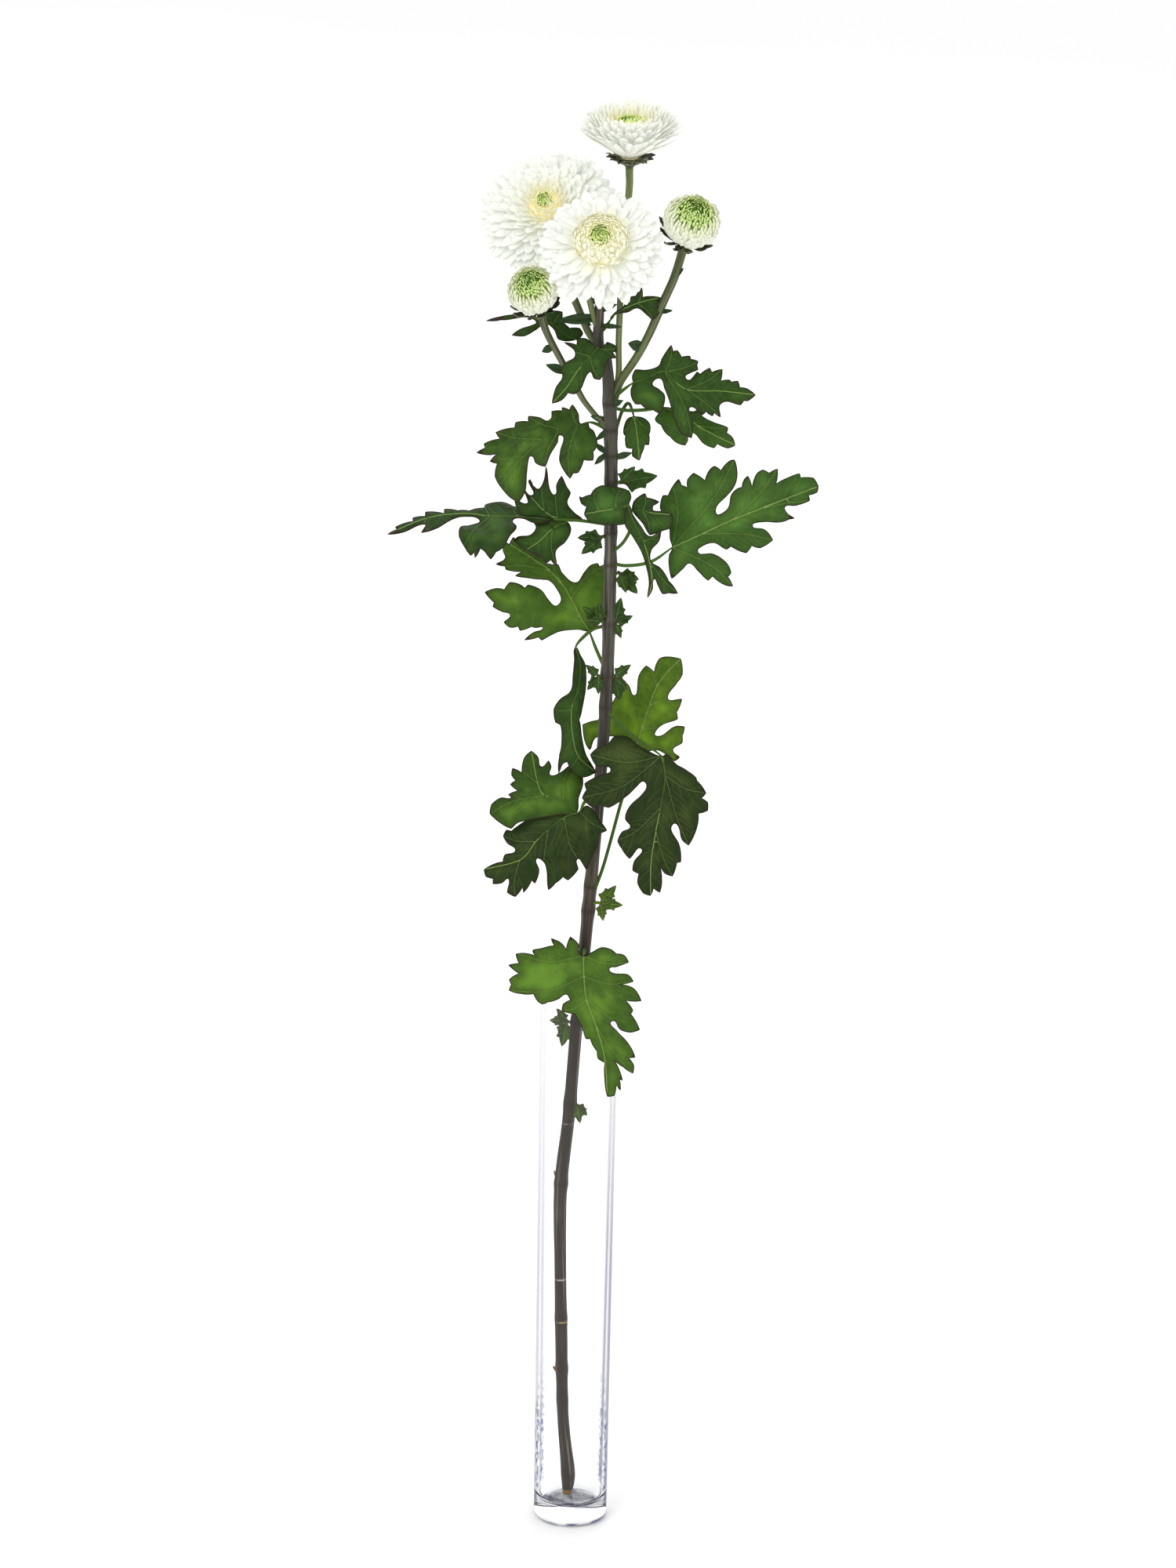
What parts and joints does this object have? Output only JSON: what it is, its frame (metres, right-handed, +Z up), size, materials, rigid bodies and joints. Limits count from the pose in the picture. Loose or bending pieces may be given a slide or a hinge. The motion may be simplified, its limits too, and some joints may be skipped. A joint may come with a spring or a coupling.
{
  "type": "chrysanthemum in vase",
  "caption": "Cut stem of white spray chrysanthemum with lobed green leaves and small side shoots, standing in a tall slim vase of clear glass.",
  "frame": {"origin": "centre of the vase's flat foot, on the surface it stands on", "axes": "+Z up along the vase, +X to the right and -Y towards the viewer as the picture shows it"},
  "size_m": [0.2047, 0.0899, 0.7248],
  "materials": {
    "glass": "clear polished glass",
    "stem": "ridged purple-brown bark",
    "leaf_dark": "upper side of a leaf, soft sheen",
    "leaf_light": "underside of a leaf with light coming through",
    "petal": "matte white petal, cream towards the middle",
    "heart": "young yellow-green florets",
    "calyx": "dark green bracts"
  },
  "bodies": {
    "root": {"vase": "glass", "stem": "stem", "leaf_right_large": "leaf_light", "leaf_right_upper": "leaf_dark", "leaf_right_back": "leaf_light", "leaf_right_hanging": "leaf_light", "leaf_left_upper": "leaf_dark", "leaf_left_wide": "leaf_dark", "leaf_left_middle": "leaf_light", "leaf_back_lower": "leaf_light", "leaf_right_lower": "leaf_dark", "leaf_left_lower": "leaf_dark", "leaf_left_narrow": "leaf_dark", "leaf_rim": "leaf_light", "leaf_front_top": "leaf_dark", "leaf_left_top": "leaf_dark", "leaf_right_top": "leaf_dark", "leaf_front_middle": "leaf_dark", "sprig_right_pointed": "leaf_dark", "sprig_left_pair": "leaf_dark", "sprig_right_tuft": "leaf_dark", "sprig_node_left": "leaf_dark", "sprig_node_right": "leaf_dark", "sprig_low_left": "leaf_dark", "sprig_low_right": "leaf_dark", "sprig_yellow": "leaf_dark", "sprig_in_neck": "leaf_dark", "sprig_in_vase": "leaf_dark", "bloom_top_petals": "petal", "bloom_top_heart": "heart", "bloom_top_calyx": "calyx", "bloom_left_petals": "petal", "bloom_left_heart": "heart", "bloom_left_calyx": "calyx", "bloom_front_petals": "petal", "bloom_front_heart": "heart", "bloom_front_calyx": "calyx", "bloom_right_petals": "petal", "bloom_right_heart": "heart", "bloom_right_calyx": "calyx", "bloom_low_petals": "petal", "bloom_low_heart": "heart", "bloom_low_calyx": "calyx"}
  },
  "joints": []
}
